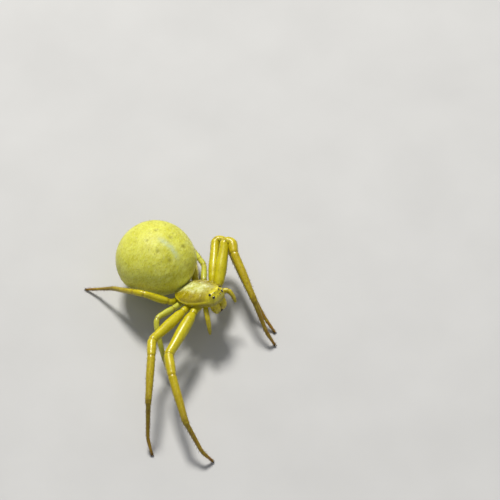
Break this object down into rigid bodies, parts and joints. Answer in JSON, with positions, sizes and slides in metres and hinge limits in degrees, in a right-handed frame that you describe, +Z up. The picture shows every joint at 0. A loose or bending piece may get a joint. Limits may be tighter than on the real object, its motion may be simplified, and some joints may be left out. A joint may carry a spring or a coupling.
{
  "type": "crab spider",
  "caption": "Yellow crab spider with a round abdomen and long front legs held forward, standing on its feet as a still life-size model.",
  "frame": {"origin": "on the floor under the middle of the spider's bounding box", "axes": "+Z up, the spider faces -Y, its left side is +X"},
  "size_m": [0.0178, 0.017, 0.0056],
  "materials": {
    "leg_skin": "translucent lemon yellow, glossy, with fine dark bristle dots",
    "body_skin": "olive yellow, glossy, paler on top",
    "abdomen_skin": "greenish yellow, finely wrinkled, soft sheen",
    "eye": "glossy black"
  },
  "bodies": {
    "root": {"leg_1_right_coxa": "leg_skin", "leg_1_right_femur": "leg_skin", "leg_1_right_patella": "leg_skin", "leg_1_right_tibia": "leg_skin", "leg_1_right_foot": "leg_skin", "leg_1_left_coxa": "leg_skin", "leg_1_left_femur": "leg_skin", "leg_1_left_patella": "leg_skin", "leg_1_left_tibia": "leg_skin", "leg_1_left_foot": "leg_skin", "leg_2_right_coxa": "leg_skin", "leg_2_right_femur": "leg_skin", "leg_2_right_patella": "leg_skin", "leg_2_right_tibia": "leg_skin", "leg_2_right_foot": "leg_skin", "leg_2_left_coxa": "leg_skin", "leg_2_left_femur": "leg_skin", "leg_2_left_patella": "leg_skin", "leg_2_left_tibia": "leg_skin", "leg_2_left_foot": "leg_skin", "leg_3_right_coxa": "leg_skin", "leg_3_right_femur": "leg_skin", "leg_3_right_patella": "leg_skin", "leg_3_right_tibia": "leg_skin", "leg_3_right_foot": "leg_skin", "leg_3_left_coxa": "leg_skin", "leg_3_left_femur": "leg_skin", "leg_3_left_patella": "leg_skin", "leg_3_left_tibia": "leg_skin", "leg_3_left_foot": "leg_skin", "leg_4_right_coxa": "leg_skin", "leg_4_right_femur": "leg_skin", "leg_4_right_patella": "leg_skin", "leg_4_right_tibia": "leg_skin", "leg_4_right_foot": "leg_skin", "leg_4_left_coxa": "leg_skin", "leg_4_left_femur": "leg_skin", "leg_4_left_patella": "leg_skin", "leg_4_left_tibia": "leg_skin", "leg_4_left_foot": "leg_skin", "prosoma": "body_skin", "abdomen": "abdomen_skin", "spinnerets": "abdomen_skin", "chelicera_left": "body_skin", "palp_left": "leg_skin", "eye_front_middle_left": "eye", "eye_front_outer_left": "eye", "eye_rear_middle_left": "eye", "eye_rear_outer_left": "eye", "chelicera_right": "body_skin", "palp_right": "leg_skin", "eye_front_middle_right": "eye", "eye_front_outer_right": "eye", "eye_rear_middle_right": "eye", "eye_rear_outer_right": "eye"}
  },
  "joints": []
}
